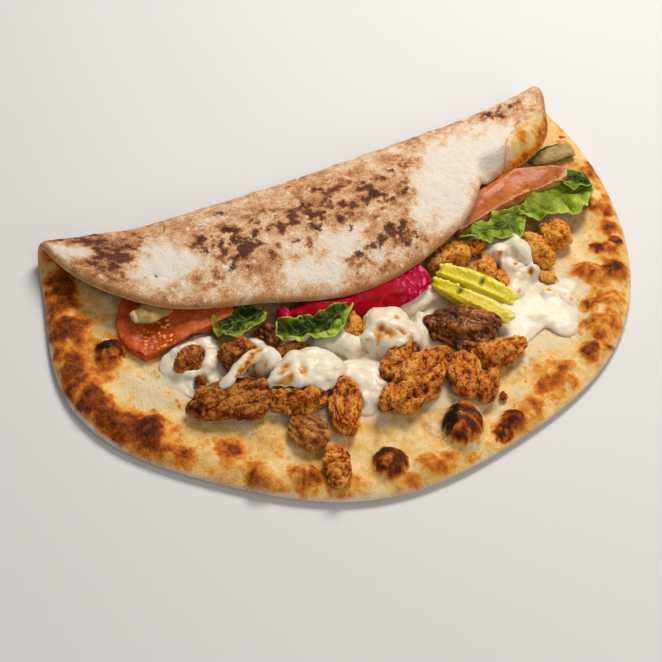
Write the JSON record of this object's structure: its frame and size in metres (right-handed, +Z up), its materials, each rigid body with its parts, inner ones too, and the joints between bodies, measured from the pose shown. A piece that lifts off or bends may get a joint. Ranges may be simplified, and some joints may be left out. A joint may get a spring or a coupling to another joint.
{
  "type": "chicken shawarma flatbread",
  "caption": "Round flatbread folded over roasted chicken chunks, melted cheese, tomato, cucumber, pickled turnip, pepper and lettuce, with its blistered front lip open.",
  "frame": {"origin": "on the surface that the bread lies on, under the middle of the folded bread's box", "axes": "+X along the fold, +Y from the open front lip back to the fold, +Z up"},
  "size_m": [0.298, 0.2012, 0.0296],
  "materials": {
    "crust": "baked dough, floury outside and toasted rim",
    "chicken": "roasted, spiced, slightly moist",
    "chicken_dark": "roasted, in shade",
    "cheese": "melted, soft sheen",
    "tomato": "wet cut flesh",
    "cucumber": "wet cut flesh",
    "turnip": "pickled, wet",
    "pepper": "pickled, wet",
    "lettuce": "fresh leaf, slight sheen"
  },
  "bodies": {
    "root": {"chicken_01": "chicken", "chicken_02": "chicken", "chicken_03": "chicken", "chicken_04": "chicken", "chicken_05": "chicken", "chicken_06": "chicken", "chicken_07": "chicken", "chicken_08": "chicken", "chicken_09": "chicken", "chicken_10": "chicken", "chicken_11": "chicken", "chicken_12": "chicken", "chicken_13": "chicken", "chicken_14": "chicken", "chicken_15": "chicken", "chicken_16": "chicken", "chicken_17": "chicken", "chicken_18": "chicken", "chicken_19": "chicken", "chicken_20": "chicken", "chicken_21": "chicken", "chicken_22": "chicken", "chicken_23": "chicken", "chicken_24": "chicken", "chicken_25": "chicken", "chicken_heap": "chicken_dark", "cucumber_left": "cucumber", "cucumber_right": "cucumber", "flatbread": "crust", "lettuce_1": "lettuce", "lettuce_2": "lettuce", "lettuce_3": "lettuce", "lettuce_4": "lettuce", "lettuce_5": "lettuce", "melted_cheese": "cheese", "pepper_back": "pepper", "pepper_front": "pepper", "tomato_left": "tomato", "tomato_right": "tomato", "turnip_strip": "turnip", "turnip_tip": "turnip"}
  },
  "joints": []
}
